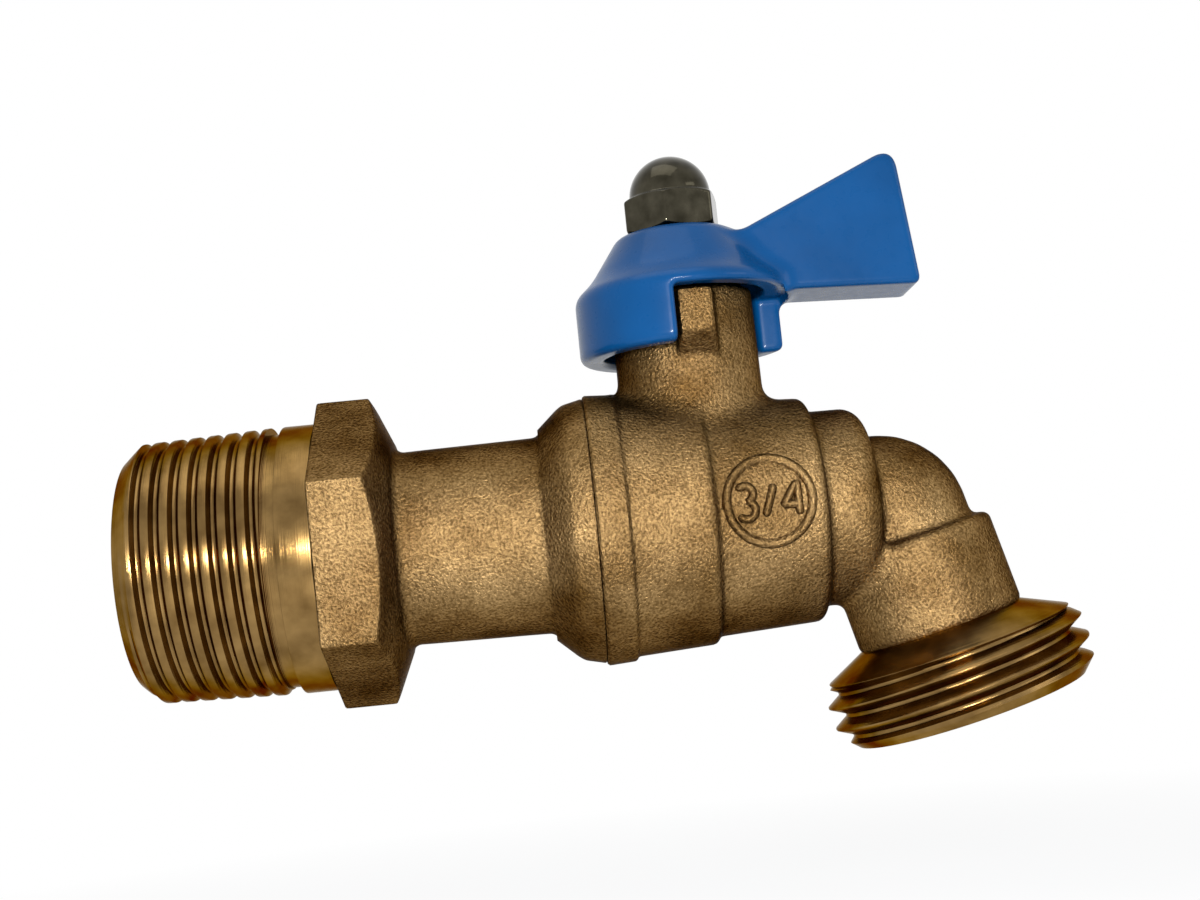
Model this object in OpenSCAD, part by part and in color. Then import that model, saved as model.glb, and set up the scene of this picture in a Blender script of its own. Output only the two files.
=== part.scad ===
// Quarter-turn ball hose bibb, nominal 3/4, with a tapered pipe inlet and a garden hose outlet.
// The origin is the centre of the inlet end face. +X runs along the pipe towards the outlet,
// +Z runs up the stem. The valve is drawn open, with the handle blade along +X.

/* [Inlet connector] */
// Distance from the inlet end face to the stem axis
inlet_to_stem = 56.9; // [50:0.1:110]
// Outer diameter of the pipe thread at its small end
inlet_thread_d = 26.0; // [25:0.1:27]
// Growth in diameter of the pipe thread for each millimetre of its length
inlet_thread_taper = 0.0625; // [0.04:0.0005:0.08]
// Length of the pipe thread, with its lead chamfer
inlet_thread_len = 14.2; // [12:0.1:18]
// Length of the lead chamfer on the pipe thread
inlet_chamfer_len = 1.6; // [0.5:0.1:2.5]
// Depth of the lead chamfer on the pipe thread
inlet_chamfer_depth = 1.45; // [0.5:0.05:2]
// Width of the relief groove behind the pipe thread
relief_w = 1.4; // [0.8:0.1:2.5]
// Depth of the relief groove behind the pipe thread
relief_depth = 1.0; // [0.3:0.1:1.5]
// Length of the plain collar between the thread groove and the hex
collar_len = 3.3; // [1:0.1:5]
// Hex size across the flats
hex_af = 27.0; // [25:0.1:30]
// Turn of the hex about the pipe, from a flat that faces the front
hex_turn = 6; // [0:1:60]
// Length of the hex along the pipe
hex_len = 5.3; // [4:0.1:9]
// Length of the steep cone from the hex down to the tube
hex_cone_len = 2.1; // [1.8:0.1:4]
// Outer diameter of the tube beside the hex
tube_d = 19.5; // [18.4:0.1:21]
// Growth of the tube's diameter towards the body
tube_draft = 0.4; // [0:0.1:1]
// Radius of the hollow fillets at the two ends of the tube
tube_fillet = 1.0; // [0.5:0.1:1.6]
// Length of the flare from the tube up to the joint flange
flare_len = 2.0; // [1.5:0.1:5]
// Outer diameter of the flange at the joint
flange_d = 26.9; // [26:0.1:27.2]
// Diameter that the flange loses towards the tube
flange_draft = 1.0; // [0.4:0.1:1.6]
// Thickness of the joint flange
flange_len = 2.5; // [1.5:0.1:4]
// Chamfer where the flare meets the flange
flange_edge = 0.5; // [0.2:0.1:1]
// Diameter of the water way through the connector
inlet_bore_d = 15.2; // [12:0.1:16]
// Length of the narrow throat behind the inlet seat ring
throat_len = 3.0; // [2:0.1:5]
// Length of the taper into the throat
throat_taper_len = 1.6; // [0.8:0.1:1.8]

/* [Body casting] */
// Distance from the joint to the stem axis
joint_to_stem = 11.2; // [10.8:0.1:13]
// Outer diameter of the first band, at the joint
band1_d = 27.4; // [26.4:0.1:29]
// Length of the first band
band1_len = 3.1; // [2:0.1:4]
// Outer diameter of the second band
band2_d = 26.2; // [25:0.1:27]
// Length of the second band
band2_len = 8.3; // [6:0.1:10]
// Outer diameter of the third band
band3_d = 23.9; // [22.6:0.1:25]
// Length of the third band
band3_len = 10.9; // [9.5:0.1:14]
// Draft of the bands: diameter lost for each millimetre of length
band_draft = 0.1; // [0.04:0.005:0.12]
// Radius of the rounded edge at the outlet end of each band
band_edge_r = 0.9; // [0.2:0.1:1.2]
// Outer diameter of the shoulder behind the third band
shoulder_d = 20.0; // [18.5:0.1:21]
// Length of the straight part of the shoulder
shoulder_len = 3.5; // [2:0.1:5]
// Length of the rounding from the shoulder down to the elbow
shoulder_round = 2.2; // [1:0.1:3]
// Outer diameter of the neck at its top
neck_d = 14.5; // [13.4:0.1:15]
// Growth of the neck's diameter down to its root
neck_draft = 0.4; // [0:0.1:1]
// Height of the neck's top above the pipe axis
neck_top_z = 23.0; // [22.4:0.1:23.4]
// Outer diameter of the cast size ring on the third band
ring_d = 8.9; // [6:0.1:9.4]
// Width of the size ring's ridge
ring_w = 0.65; // [0.3:0.05:1.2]
// Height of the size ring above the band
ring_h = 0.35; // [0.2:0.05:0.6]
// Distance of the size ring's centre from the stem axis
ring_x = 5.4; // [4.8:0.1:6]
// Height of the size ring's centre above the pipe axis
ring_z = 0.6; // [-1:0.1:2]

/* [Elbow and hose outlet] */
// Outer diameter of the elbow
elbow_d = 13.7; // [13:0.1:15]
// Radius of the elbow's centre line
elbow_r = 2.1; // [1.5:0.1:3]
// Distance from the stem axis to the start of the bend
elbow_x = 17.9; // [17.4:0.1:20]
// Angle of the outlet forward of straight down
outlet_lean = 14; // [0:1:25]
// Outer diameter of the outlet barrel
outlet_d = 17.0; // [16:0.1:18]
// Distance along the outlet axis from the bend to the barrel's top face
outlet_top_s = 2.3; // [2:0.1:4]
// Length of the outlet barrel
outlet_len = 9.3; // [7:0.1:12]
// Radius of the rounded edge at the barrel's top
outlet_edge_r = 1.0; // [0.3:0.1:1.5]
// Length of the cone from the barrel out to the hose thread
hose_cone_len = 2.6; // [1:0.1:4]
// Major diameter of the hose thread
hose_thread_d = 26.97; // [26:0.01:28]
// Length of the hose thread, without its end chamfer
hose_thread_len = 4.7; // [4:0.1:12]
// Length and depth of the chamfer at the mouth of the hose thread
hose_chamfer = 1.6; // [0.5:0.1:2]
// Diameter of the water way through the elbow
waterway_d = 9.6; // [8:0.1:10]
// Diameter of the water way through the outlet barrel
outlet_bore_d = 12.4; // [11:0.1:13]
// Diameter of the wide bore inside the hose thread
hose_bore_d = 19.0; // [17:0.1:20]
// Distance from the end of the barrel to the floor of the wide bore
hose_floor = 2.4; // [2.2:0.1:4]

/* [Ball and seats] */
// Diameter of the ball
ball_d = 17.5; // [17:0.1:18]
// Diameter of the port through the ball
port_d = 10.0; // [8:0.1:10.4]
// Width of the slot that the stem turns the ball by
slot_w = 4.2; // [3.4:0.1:4.6]
// Depth of the slot below the ball's top
slot_depth = 2.8; // [2.2:0.1:3.2]
// Outer diameter of a seat ring
seat_d = 16.8; // [16.4:0.1:17]
// Inner diameter of a seat ring
seat_bore_d = 10.8; // [10.5:0.1:11.4]
// Thickness of a seat ring along the pipe
seat_len = 3.2; // [2.4:0.1:3.4]
// Distance from the stem axis to the back of each seat ring
seat_back = 9.1; // [8.9:0.05:9.3]
// Clearance between the ball and its seats
ball_gap = 0.08; // [0.03:0.01:0.2]
// Clearance of the chamber around the ball
chamber_gap = 0.75; // [0.3:0.05:1]
// Diameter of the connector's threaded spigot in the body
spigot_d = 21.2; // [20.6:0.1:21.8]
// Length of the spigot
spigot_len = 5.6; // [4.6:0.1:5.8]
// Thickness of the round seal at the joint
seal_cord_d = 1.4; // [1:0.1:1.6]

/* [Stem and packing] */
// Diameter of the stem's shank
stem_d = 6.4; // [5.6:0.1:6.8]
// Diameter of the stem's collar inside the chamber
stem_collar_d = 9.8; // [9:0.1:10.4]
// Height of the stem's collar above the pipe axis, at its underside
stem_collar_z = 9.4; // [9:0.1:9.8]
// Thickness of the stem's collar
stem_collar_h = 2.2; // [1.5:0.1:2.5]
// Width of the stem's tongue along the ball's slot
tongue_w = 8.0; // [6.5:0.1:8.4]
// Thickness of the thrust washer
thrust_h = 0.8; // [0.5:0.1:1.2]
// Thickness of the neck's inner shoulder above the thrust washer
neck_shoulder_h = 2.4; // [1.8:0.1:3]
// Diameter of the packing chamber
packing_d = 10.2; // [9.6:0.1:10.6]
// Height of one packing ring
packing_h = 1.4; // [1:0.1:1.6]
// Rise of the cone on the packing rings' faces
packing_cone = 0.5; // [0.2:0.1:0.8]
// Outer diameter of the gland nut's thread
gland_d = 11.0; // [10.6:0.1:11.2]
// Hex size of the gland nut across the flats
gland_af = 11.0; // [10:0.1:11.4]
// Height of the gland nut's hex
gland_hex_h = 2.2; // [1.4:0.1:2.4]
// Stem size across its two flats
stem_flat_af = 4.8; // [4:0.1:5.2]
// Diameter of the stem's threaded end
stem_thread_d = 5.0; // [4.5:0.1:5.2]
// Length of stem thread inside the acorn nut
stem_thread_len = 5.6; // [4:0.1:6]
// Distance of the stem's flats below the handle's top
flat_end_drop = 0.4; // [0.2:0.1:0.8]
// Clearance between the end of the stem's tongue and the floor of the slot
stem_end_gap = 0.3; // [0.1:0.05:0.6]
// Radial clearance of the parts that turn or slide in the neck
running_gap = 0.08; // [0.03:0.01:0.15]
// Radial clearance at a threaded or pushed-in joint
thread_gap = 0.05; // [0.02:0.01:0.1]

/* [Handle] */
// Height of the handle's top above the pipe axis
handle_top_z = 29.7; // [29:0.1:31]
// Diameter of the handle's flat top
handle_top_d = 11.8; // [11.4:0.1:13]
// Diameter of the handle's skirt
skirt_d = 21.4; // [20.4:0.1:22]
// Height of the edge between the handle's cone and its skirt
skirt_top_z = 23.5; // [23.2:0.1:23.8]
// Height of the skirt's lower rim
skirt_bottom_z = 17.0; // [16.6:0.1:18.5]
// Wall thickness of the skirt
skirt_wall = 2.3; // [2:0.1:2.5]
// Wall thickness of the cone, measured level
cone_wall = 2.3; // [2:0.1:2.5]
// Thickness of the hub plate that the stem passes through
hub_h = 2.8; // [2.2:0.1:2.9]
// Height of the lip left above the skirt's window
window_lip = 0.9; // [0.6:0.1:1.6]
// Rounding of the handle's outer edges
handle_edge_r = 0.5; // [0.2:0.1:0.8]
// Thickness of the blade
blade_t = 8.2; // [6:0.1:10]
// Height of the blade's root on the cone
blade_root_z = 28.4; // [28:0.1:28.8]
// Reach of the blade's upper tip from the stem axis
blade_tip_x = 22.7; // [18:0.1:30]
// Height of the blade's upper tip
blade_tip_z = 35.2; // [30:0.1:38]
// Reach of the blade's lower corner from the stem axis
blade_end_x = 24.2; // [20:0.1:34]
// Height of the blade's underside at its far end
blade_bottom_z = 21.6; // [21:0.1:22.5]
// Rise of the blade's underside from the far end to the skirt
blade_bottom_rise = 0.6; // [0:0.1:1]
// Corner radius of the blade's upper tip
blade_tip_r = 1.4; // [0.5:0.1:2.5]
// Corner radius of the blade's lower corner
blade_corner_r = 0.6; // [0.3:0.1:1.5]

/* [Stop] */
// Width of the stop lug at the neck
lug_root_w = 4.6; // [3:0.1:5]
// Width of the stop lug at its face
lug_face_w = 2.9; // [2:0.1:3.6]
// Distance of the lug's face from the stem axis
lug_reach = 9.5; // [9:0.1:9.8]
// Height of the lug's lower end on the neck
lug_bottom_z = 15.8; // [14.5:0.1:16.5]
// Clearance of the lug's top below the upper edge of the window
lug_top_gap = 0.3; // [0.15:0.05:1]
// Offset of the lug from the front of the neck, towards the outlet
lug_offset = 0.6; // [-0.5:0.1:0.8]
// Clearance between the lug and the window's edge at each end of the turn
stop_gap = 0.12; // [0.05:0.01:0.3]

/* [Acorn nut] */
// Hex size of the acorn nut across the flats
nut_af = 9.0; // [7.5:0.1:10]
// Height of the acorn nut's hex
nut_hex_h = 3.9; // [3:0.1:5]
// Diameter of the acorn nut's dome
nut_dome_d = 8.4; // [7:0.1:9]
// Clearance above the stem's end inside the acorn nut
nut_end_gap = 0.6; // [0.2:0.1:1]
// Turn of the acorn nut about the stem, from a corner that faces the front
nut_turn = 48; // [0:1:60]
// Height of the acorn nut over all
nut_h = 8.2; // [7.6:0.1:10]

/* [Hidden] */
$fn = 96;
// A cut runs this far past the face that it opens, so that no skin is left.
past = 0.5;
// Number of straight steps in a rounded edge of a revolved outline
edge_steps = 6;
// Number of straight steps in one quarter of a hollow fillet
fillet_steps = 6;
// Number of steps between the balls that make up the elbow's bend
bend_steps = 2;
// How far the middle balls bow outwards, which keeps their seams from meeting in one point
bend_bow = 0.1;
// Extra diameter of those balls over the tube
bend_swell = 0.1;

forged_brass = "darkgoldenrod";
turned_brass = "goldenrod";

// Stations along the pipe, from the inlet end face
hex_x = inlet_thread_len + relief_w + collar_len;
tube_x = hex_x + hex_len + hex_cone_len;
stem_x = inlet_to_stem;
joint_x = stem_x - joint_to_stem;
flange_x = joint_x - flange_len;
flare_x = flange_x - flare_len;

// Outer radii of the connector
thread_r = inlet_thread_d / 2;
collar_r = thread_r + inlet_thread_len * inlet_thread_taper / 2;
hex_corner_r = hex_af / 2 / cos(30);
tube_r = tube_d / 2;
tube_end_r = tube_r + tube_draft / 2;
flange_r = (flange_d - flange_draft) / 2;

// Stations of the body casting, from the joint
band2_s = band1_len;
band3_s = band2_s + band2_len;
shoulder_s = band3_s + band3_len;
shoulder_end_s = shoulder_s + shoulder_len;
function drafted(d, len) = d - band_draft * len;

// Stations along the outlet axis, from the end of the bend
barrel_end_s = outlet_top_s + outlet_len;
hose_s = barrel_end_s + hose_cone_len;
hose_end_s = hose_s + hose_thread_len;
hose_rim_s = hose_end_s + hose_chamfer;
hose_floor_s = barrel_end_s + hose_floor;

// Cavities around the ball and the seats
chamber_r = ball_d / 2 + chamber_gap;
seat_front = seat_back - seat_len;
seat_pocket_r = seat_d / 2 + thread_gap;
seal_pocket_r = spigot_d / 2 + seal_cord_d + 2 * thread_gap;

// Heights up the stem, above the pipe axis
slot_floor_z = ball_d / 2 - slot_depth;
thrust_z = stem_collar_z + stem_collar_h;
neck_shoulder_z = thrust_z + thrust_h;
packing_z = neck_shoulder_z + neck_shoulder_h;
gland_z = packing_z + 3 * packing_h + packing_cone;
gland_top_z = neck_top_z + gland_hex_h;
hub_z = handle_top_z - hub_h;
stem_hole_r = stem_d / 2 + running_gap;
// The flats end below the handle's top, so that the nut clamps the handle.
stem_flat_top_z = handle_top_z - flat_end_drop;

// Radii of the handle and its stop
skirt_r = skirt_d / 2;
skirt_inner_r = skirt_r - skirt_wall;
handle_top_r = handle_top_d / 2;
bell_slope = (skirt_r - handle_top_r) / (handle_top_z - skirt_top_z);
// Angle of the cone's outward normal above level, where the rounded top edge starts
bell_edge_angle = atan(bell_slope);
function cone_r(z) = handle_top_r + (handle_top_z - z) * bell_slope;
window_top_z = skirt_top_z - window_lip;
lug_top_z = window_top_z - lug_top_gap;
neck_r = neck_d / 2;
// Half the lug's width where the skirt's inner wall can strike it
lug_stop_half = (lug_root_w - (lug_root_w - lug_face_w) * (skirt_inner_r - neck_r)
    / (lug_reach - neck_r)) / 2;

// Points on an arc about [cx, cy], from angle a to angle b
function arc(cx, cy, r, a, b, steps) =
    [for (i = [0 : steps]) [cx + r * cos(a + (b - a) * i / steps), cy + r * sin(a + (b - a) * i / steps)]];

// Turns a shape made along Z so that it lies along the pipe, from station x.
module on_pipe(x) {
    translate([x, 0, 0]) rotate([0, 90, 0]) children();
}

// Puts a shape on the stem axis.
module on_stem() {
    translate([stem_x, 0, 0]) children();
}

// Turns a shape made along Z so that it runs down the outlet, from the end of the bend.
module on_outlet() {
    translate([stem_x + elbow_x, 0, -elbow_r])
        rotate([0, 180 - outlet_lean, 0])
            translate([-elbow_r, 0, 0]) children();
}

module ring(inner_r, outer_r, h) {
    rotate_extrude() translate([inner_r, 0]) square([outer_r - inner_r, h]);
}

// A band of the casting: a drafted side that ends in a rounded edge
function band(d, s, len, next_r) =
    let (end_r = drafted(d, len) / 2, e = min(band_edge_r, end_r - next_r))
        concat([[d / 2, s]], arc(end_r - e, s + len - e, e, 0, 90, edge_steps));

// Rounding from the shoulder down to the elbow, a quarter of an ellipse
function shoulder_points() =
    [for (i = [0 : edge_steps])
        let (t = 90 * i / edge_steps)
            [elbow_d / 2 + (shoulder_d - elbow_d) / 2 * cos(t), shoulder_end_s + shoulder_round * sin(t)]];

module body_bands() {
    on_pipe(joint_x) rotate_extrude() polygon(concat(
        [[0, 0]],
        band(band1_d, 0, band1_len, band2_d / 2),
        band(band2_d, band2_s, band2_len, band3_d / 2),
        band(band3_d, band3_s, band3_len, shoulder_d / 2),
        [[shoulder_d / 2, shoulder_s]],
        shoulder_points(),
        [[0, shoulder_end_s + shoulder_round]]));
}

// The elbow's outside: a tube from the body, a bend and a tube down to the barrel.
// The bend is a row of balls on its centre line, a little fuller than the tube.
module elbow() {
    tube_start = stem_x + joint_to_stem;
    on_pipe(tube_start) cylinder(d = elbow_d, h = stem_x + elbow_x - tube_start);
    for (i = [0 : bend_steps]) {
        turn = 90 - (90 - outlet_lean) * i / bend_steps;
        translate([stem_x + elbow_x, 0, -elbow_r]) rotate([0, -turn, 0])
            translate([elbow_r + bend_bow * sin(180 * i / bend_steps), 0, 0])
                sphere(d = elbow_d + bend_swell);
    }
    on_outlet() cylinder(d = elbow_d, h = outlet_top_s + outlet_edge_r);
}

// The water way from the ball to the barrel: two drillings that meet in a ball-ended corner
module waterway() {
    // distance from the bend's ends to the corner where the two axes cross
    corner = elbow_r * tan((90 - outlet_lean) / 2);
    on_pipe(stem_x) cylinder(d = waterway_d, h = elbow_x + corner);
    on_outlet() translate([0, 0, -corner]) {
        cylinder(d = waterway_d, h = corner + outlet_top_s + outlet_edge_r);
        sphere(d = waterway_d + bend_swell);
    }
}

module outlet_barrel() {
    on_outlet() rotate_extrude() polygon(concat(
        [[0, outlet_top_s]],
        arc(outlet_d / 2 - outlet_edge_r, outlet_top_s + outlet_edge_r, outlet_edge_r, -90, 0, edge_steps),
        [[outlet_d / 2, barrel_end_s],
         [hose_thread_d / 2, hose_s],
         [hose_thread_d / 2, hose_end_s],
         [hose_thread_d / 2 - hose_chamfer, hose_rim_s],
         [0, hose_rim_s]]));
}

module neck() {
    on_stem() translate([0, 0, ball_d / 2])
        cylinder(h = neck_top_z - ball_d / 2, d1 = neck_d + neck_draft, d2 = neck_d);
}

// The lug on the neck that stops the handle, with drafted sides and a sloped underside
module stop_lug() {
    slope = lug_reach - neck_r;
    on_stem() translate([lug_offset, 0, 0]) intersection() {
        linear_extrude(lug_top_z) polygon([
            [-lug_root_w / 2, 0], [lug_root_w / 2, 0],
            [lug_root_w / 2, -neck_r], [lug_face_w / 2, -lug_reach],
            [-lug_face_w / 2, -lug_reach], [-lug_root_w / 2, -neck_r]]);
        translate([-lug_root_w, 0, 0]) rotate([90, 0, 90]) linear_extrude(2 * lug_root_w) polygon([
            [0, lug_bottom_z], [-neck_r, lug_bottom_z], [-lug_reach, lug_bottom_z + slope],
            [-lug_reach, lug_top_z], [0, lug_top_z]]);
    }
}

// The raised ring cast on the front of the third band
module size_ring() {
    intersection() {
        translate([stem_x + ring_x, 0, ring_z]) rotate([90, 0, 0])
            ring(ring_d / 2 - ring_w, ring_d / 2, band3_d);
        on_pipe(joint_x + band3_s) cylinder(h = band3_len,
            d1 = band3_d + 2 * ring_h, d2 = drafted(band3_d, band3_len) + 2 * ring_h);
    }
}

// Everything that is bored out of the casting
module body_bores() {
    // seal pocket, spigot thread and ball chamber, from the joint
    on_pipe(joint_x - past) cylinder(r = seal_pocket_r, h = seal_cord_d + past);
    on_pipe(joint_x - past) cylinder(d = spigot_d + 2 * thread_gap, h = spigot_len + past);
    on_pipe(joint_x) cylinder(r = chamber_r, h = joint_to_stem + seat_front);
    on_pipe(stem_x) cylinder(r = seat_pocket_r, h = seat_back);
    waterway();
    on_outlet() {
        translate([0, 0, outlet_top_s]) cylinder(d = outlet_bore_d, h = outlet_len + hose_floor);
        translate([0, 0, hose_floor_s]) cylinder(d = hose_bore_d, h = hose_rim_s - hose_floor_s + past);
    }
    on_stem() {
        cylinder(d = stem_collar_d + 2 * running_gap, h = neck_shoulder_z);
        cylinder(r = stem_hole_r, h = neck_top_z);
        translate([0, 0, packing_z]) cylinder(d = packing_d, h = neck_top_z - packing_z + past);
        translate([0, 0, gland_z]) cylinder(d = gland_d + 2 * thread_gap, h = neck_top_z - gland_z + past);
    }
}

module body() {
    color(forged_brass) difference() {
        union() {
            body_bands();
            elbow();
            outlet_barrel();
            neck();
            stop_lug();
            size_ring();
        }
        body_bores();
    }
}

// Outline of the connector's turned outside, from the inlet face to the end of the spigot.
// Along the hex it stands out past the hex corners, which are cut afterwards.
module connector_outline() {
    blank_r = hex_corner_r + past;
    cone_end_r = tube_r + tube_fillet;
    cone_slope = hex_cone_len / (hex_corner_r - cone_end_r);
    end_f = min(tube_fillet, flange_r - tube_end_r);
    polygon(concat(
        [[0, 0],
         [thread_r - inlet_chamfer_depth, 0],
         [thread_r + inlet_chamfer_len * inlet_thread_taper / 2, inlet_chamfer_len],
         [collar_r, inlet_thread_len],
         [collar_r - relief_depth, inlet_thread_len],
         [collar_r - relief_depth, inlet_thread_len + relief_w],
         [collar_r, inlet_thread_len + relief_w],
         [collar_r, hex_x],
         [blank_r, hex_x],
         [blank_r, hex_x + hex_len - past * cone_slope]],
        arc(cone_end_r, tube_x + tube_fillet, tube_fillet, 270, 180, fillet_steps),
        arc(tube_end_r + end_f, flare_x - end_f, end_f, 180, 90, fillet_steps),
        [[flange_r - flange_edge, flange_x - flange_edge / 2],
         [flange_r, flange_x + flange_edge / 2],
         [flange_d / 2, joint_x],
         [spigot_d / 2, joint_x],
         [spigot_d / 2, joint_x + spigot_len],
         [0, joint_x + spigot_len]]));
}

// Everything outside the hex, along the stretch between the collar and the tube
module hex_cut() {
    on_pipe(hex_x - past) difference() {
        cylinder(r = hex_corner_r + 2 * past, h = tube_x - hex_x);
        rotate([0, 0, hex_turn]) translate([0, 0, -past])
            cylinder(r = hex_corner_r, h = tube_x - hex_x + 2 * past, $fn = 6);
    }
}

// Outline of the connector's bore: the water way, the throat and the pocket of the seat ring
module connector_bore() {
    throat_x = stem_x - seat_back - throat_len;
    polygon([
        [0, -past],
        [inlet_bore_d / 2, -past],
        [inlet_bore_d / 2, throat_x],
        [seat_bore_d / 2, throat_x + throat_taper_len],
        [seat_bore_d / 2, stem_x - seat_back],
        [seat_pocket_r, stem_x - seat_back],
        [seat_pocket_r, joint_x + spigot_len + past],
        [0, joint_x + spigot_len + past]]);
}

module inlet_connector() {
    color(turned_brass) difference() {
        on_pipe(0) rotate_extrude() connector_outline();
        hex_cut();
        on_pipe(0) rotate_extrude() connector_bore();
    }
}

module body_seal() {
    color("black") on_pipe(joint_x + seal_cord_d / 2) rotate_extrude()
        translate([(spigot_d + seal_cord_d) / 2 + thread_gap, 0]) circle(d = seal_cord_d);
}

module ball() {
    color("silver") on_stem() difference() {
        sphere(d = ball_d);
        rotate([0, 90, 0]) cylinder(d = port_d, h = 2 * ball_d, center = true);
        translate([-slot_w / 2, -ball_d, slot_floor_z]) cube([slot_w, 2 * ball_d, ball_d]);
    }
}

// A seat ring on the outlet side of the ball, bored to the ball's curve
module seat_ring() {
    difference() {
        rotate([0, 90, 0]) translate([0, 0, seat_front])
            ring(seat_bore_d / 2, seat_d / 2, seat_len);
        sphere(d = ball_d + 2 * ball_gap);
    }
}

module inlet_seat_ring() {
    color("white") on_stem() mirror([1, 0, 0]) seat_ring();
}

module outlet_seat_ring() {
    color("white") on_stem() seat_ring();
}

module stem() {
    tongue_t = slot_w - 2 * running_gap;
    tongue_z = slot_floor_z + stem_end_gap;
    color(turned_brass) on_stem() {
        translate([-tongue_t / 2, -tongue_w / 2, tongue_z])
            cube([tongue_t, tongue_w, stem_collar_z - tongue_z + stem_collar_h / 2]);
        translate([0, 0, stem_collar_z]) cylinder(d = stem_collar_d, h = stem_collar_h);
        translate([0, 0, stem_collar_z]) cylinder(d = stem_d, h = hub_z - stem_collar_z);
        translate([0, 0, hub_z]) stem_flats(0, stem_flat_top_z - hub_z);
        translate([0, 0, hub_z]) cylinder(d = stem_thread_d, h = hub_h + stem_thread_len);
    }
}

// The double-flat section that turns the stem, made larger by a gap for the handle's hole
module stem_flats(gap, h) {
    intersection() {
        cylinder(d = stem_d + 2 * gap, h = h);
        translate([-stem_d, -stem_flat_af / 2 - gap, 0]) cube([2 * stem_d, stem_flat_af + 2 * gap, h]);
    }
}

module thrust_washer() {
    color("white") on_stem() translate([0, 0, thrust_z])
        ring(stem_hole_r, stem_collar_d / 2, thrust_h);
}

// One ring of the stem packing. Its faces are flat, or peaked to nest in the next ring.
module packing_ring(z, peaked_below, peaked_above) {
    outer_r = packing_d / 2 - thread_gap;
    mid_r = (stem_hole_r + outer_r) / 2;
    top_z = packing_h + (peaked_above ? 0 : packing_cone) - thread_gap;
    color("ivory") on_stem() translate([0, 0, z]) rotate_extrude() polygon([
        [stem_hole_r, 0],
        [mid_r, peaked_below ? packing_cone : 0],
        [outer_r, 0],
        [outer_r, top_z],
        [mid_r, top_z + (peaked_above ? packing_cone : 0)],
        [stem_hole_r, top_z]]);
}

module packing_ring_lower() {
    packing_ring(packing_z, false, true);
}

module packing_ring_middle() {
    packing_ring(packing_z + packing_h, true, true);
}

module packing_ring_upper() {
    packing_ring(packing_z + 2 * packing_h, true, false);
}

module gland_nut() {
    color(turned_brass) on_stem() difference() {
        union() {
            translate([0, 0, gland_z]) cylinder(d = gland_d, h = neck_top_z - gland_z);
            translate([0, 0, neck_top_z]) cylinder(r = gland_af / 2 / cos(30), h = gland_hex_h, $fn = 6);
        }
        cylinder(r = stem_hole_r, h = gland_top_z + past);
    }
}

// The bell of the handle as one turned solid: a cone on a skirt
module bell() {
    e = handle_edge_r;
    rotate_extrude() polygon(concat(
        [[0, skirt_bottom_z]],
        arc(skirt_r - e, skirt_bottom_z + e, e, -90, 0, edge_steps),
        [[skirt_r, skirt_top_z]],
        arc(handle_top_r - e, handle_top_z - e, e, bell_edge_angle, 90, edge_steps),
        [[0, handle_top_z]]));
}

// The hollow inside the bell
module bell_hollow() {
    rotate_extrude() polygon([
        [0, skirt_bottom_z - past],
        [skirt_inner_r, skirt_bottom_z - past],
        [skirt_inner_r, skirt_top_z],
        [cone_r(hub_z) - cone_wall, hub_z],
        [0, hub_z]]);
}

// The outline of the blade, from inside the cone out to its tip
module blade_outline() {
    hull() {
        polygon([[skirt_inner_r, blade_bottom_z + blade_bottom_rise],
            [cone_r(blade_root_z) - cone_wall / 2, blade_root_z],
            [skirt_r, blade_bottom_z + blade_bottom_rise]]);
        translate([blade_tip_x - blade_tip_r, blade_tip_z - blade_tip_r]) circle(blade_tip_r);
        translate([blade_end_x - blade_corner_r, blade_bottom_z + blade_corner_r]) circle(blade_corner_r);
    }
}

module blade() {
    translate([0, blade_t / 2, 0]) rotate([90, 0, 0]) linear_extrude(blade_t) blade_outline();
}

// The part of the skirt that is cut away, so that the lug can pass through a quarter turn
module window() {
    left = lug_offset - lug_stop_half - stop_gap;
    back = lug_offset + lug_stop_half + stop_gap;
    intersection() {
        translate([left, back - 2 * skirt_r, skirt_bottom_z - past])
            cube([2 * skirt_r, 2 * skirt_r, window_top_z - skirt_bottom_z + past]);
        cylinder(r = skirt_r, h = window_top_z);
    }
}

module handle() {
    color("royalblue") on_stem() difference() {
        union() {
            bell();
            blade();
        }
        bell_hollow();
        window();
        translate([0, 0, hub_z - past]) stem_flats(running_gap, hub_h + 2 * past);
    }
}

module acorn_nut() {
    dome_r = nut_dome_d / 2;
    color("dimgray") on_stem() translate([0, 0, handle_top_z]) difference() {
        union() {
            intersection() {
                rotate([0, 0, 90 + nut_turn]) cylinder(r = nut_af / 2 / cos(30), h = nut_hex_h, $fn = 6);
                nut_chamfer();
            }
            cylinder(d = nut_dome_d, h = nut_h - dome_r);
            translate([0, 0, nut_h - dome_r]) sphere(r = dome_r);
        }
        translate([0, 0, -past])
            cylinder(d = stem_thread_d + 2 * thread_gap, h = past + stem_thread_len + nut_end_gap);
    }
}

// The turned shape that rounds the corners of the acorn nut's hex at its two ends
module nut_chamfer() {
    corner_r = nut_af / 2 / cos(30);
    rise = (corner_r - nut_af / 2) * tan(30);
    rotate_extrude() polygon([
        [0, 0], [nut_af / 2, 0], [corner_r, rise],
        [corner_r, nut_hex_h - rise], [nut_af / 2, nut_hex_h], [0, nut_hex_h]]);
}

body();
inlet_connector();
body_seal();
ball();
inlet_seat_ring();
outlet_seat_ring();
stem();
thrust_washer();
packing_ring_lower();
packing_ring_middle();
packing_ring_upper();
gland_nut();
handle();
acorn_nut();
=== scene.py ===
import math

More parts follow.
